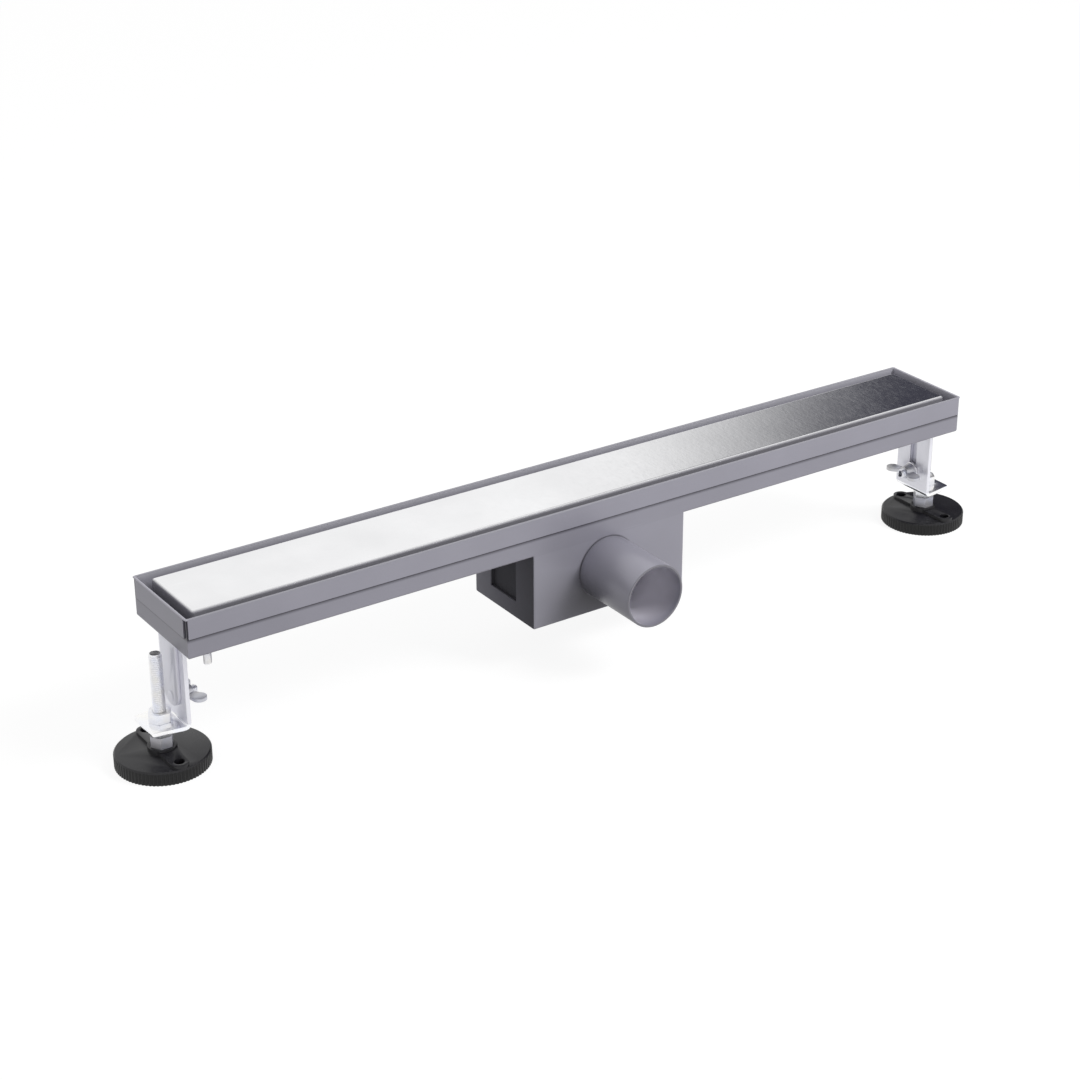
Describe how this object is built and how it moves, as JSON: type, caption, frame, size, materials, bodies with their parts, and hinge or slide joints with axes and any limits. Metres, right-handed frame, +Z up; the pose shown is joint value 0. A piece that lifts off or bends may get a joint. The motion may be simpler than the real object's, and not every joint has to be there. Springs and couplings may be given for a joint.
{
  "type": "linear shower drain",
  "caption": "Linear shower drain: long folded channel with a flush cover plate, central trap box with side outlet pipe, and adjustable bracket legs on ribbed discs.",
  "frame": {"origin": "on the floor under the middle of the channel, level with the undersides of both foot discs", "axes": "+Z up, +X along the channel to the right when seen from the outlet side, -Y out along the outlet pipe"},
  "size_m": [0.6684, 0.1214, 0.1085],
  "materials": {
    "channel_steel": "satin",
    "cover_steel": "fine brushed",
    "strainer_steel": "satin",
    "plated_steel": "zinc plated",
    "disc_plastic": "moulded black",
    "trap_plastic": "moulded",
    "seal_rubber": "smooth"
  },
  "bodies": {
    "drain_body": {"channel_body": "channel_steel", "cover_plate": "cover_steel", "cover_rest_1": "cover_steel", "cover_rest_2": "cover_steel", "cover_rest_3": "cover_steel", "cover_rest_4": "cover_steel", "trap_box": "channel_steel", "outlet_pipe": "channel_steel", "trap_funnel": "trap_plastic", "trap_seal": "seal_rubber", "trap_cup": "trap_plastic", "hair_strainer": "strainer_steel", "earth_stud": "plated_steel", "left_hanger_strap": "channel_steel", "left_clamp_stud": "plated_steel", "left_clamp_washer": "plated_steel", "right_hanger_strap": "channel_steel", "right_clamp_stud": "plated_steel", "right_clamp_washer": "plated_steel"},
    "left_leg": {"left_leg_bracket": "plated_steel", "left_upper_nut": "plated_steel", "left_lower_nut": "plated_steel"},
    "left_foot_rod": {"left_foot_stud": "plated_steel"},
    "left_foot": {"left_foot_hex": "plated_steel", "left_foot_disc": "disc_plastic"},
    "left_wing": {"left_wing_nut": "plated_steel"},
    "right_leg": {"right_leg_bracket": "plated_steel", "right_upper_nut": "plated_steel", "right_lower_nut": "plated_steel"},
    "right_foot_rod": {"right_foot_stud": "plated_steel"},
    "right_foot": {"right_foot_hex": "plated_steel", "right_foot_disc": "disc_plastic"},
    "right_wing": {"right_wing_nut": "plated_steel"}
  },
  "joints": [
    {"name": "left_leg_slide", "type": "slide", "parent": "drain_body", "child": "left_leg", "axis": [0, 0, -1], "range_m": [0, 0.029]},
    {"name": "left_foot_height", "type": "slide", "parent": "left_leg", "child": "left_foot_rod", "axis": [0, 0, -1], "range_m": [0, 0.036]},
    {"name": "left_foot_turn", "type": "hinge", "parent": "left_foot_rod", "child": "left_foot", "pos_m": [-0.3048, 0, 0.0088], "axis": [0, 0, 1], "continuous": true},
    {"name": "left_wing_nut_turn", "type": "hinge", "parent": "drain_body", "child": "left_wing", "pos_m": [-0.287, 0, 0.042], "axis": [1, 0, 0], "continuous": true},
    {"name": "right_leg_slide", "type": "slide", "parent": "drain_body", "child": "right_leg", "axis": [0, 0, -1], "range_m": [0, 0.029]},
    {"name": "right_foot_height", "type": "slide", "parent": "right_leg", "child": "right_foot_rod", "axis": [0, 0, -1], "range_m": [0, 0.036]},
    {"name": "right_foot_turn", "type": "hinge", "parent": "right_foot_rod", "child": "right_foot", "pos_m": [0.3048, 0, 0.0088], "axis": [0, 0, 1], "continuous": true},
    {"name": "right_wing_nut_turn", "type": "hinge", "parent": "drain_body", "child": "right_wing", "pos_m": [0.287, 0, 0.042], "axis": [1, 0, 0], "continuous": true}
  ]
}
